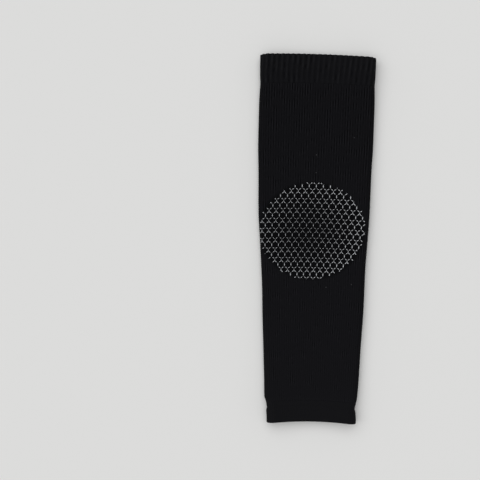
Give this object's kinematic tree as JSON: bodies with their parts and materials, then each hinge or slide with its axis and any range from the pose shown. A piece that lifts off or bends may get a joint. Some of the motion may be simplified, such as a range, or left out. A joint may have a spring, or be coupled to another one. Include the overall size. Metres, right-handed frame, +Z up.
{
  "type": "compression knee sleeve",
  "caption": "Flat-lying tapered knit knee sleeve, open at both ends, with a ribbed cuff, a turned hem and a honeycomb of raised grip beads over the knee.",
  "frame": {"origin": "on the table under the middle of the flattened sleeve's footprint", "axes": "+X across the sleeve, +Y along it towards the ribbed cuff, +Z up through the printed face"},
  "size_m": [0.0848, 0.2688, 0.0121],
  "materials": {
    "rib_knit": "matt black one-by-one rib knit",
    "plain_knit": "matt black plain elastic knit",
    "hem_knit": "matt black double-layer knit hem",
    "grip_rubber": "satin grey printed silicone beads"
  },
  "bodies": {
    "root": {"rib_cuff": "rib_knit", "leg_tube": "plain_knit", "ankle_hem": "hem_knit", "grip_print": "grip_rubber"}
  },
  "joints": []
}
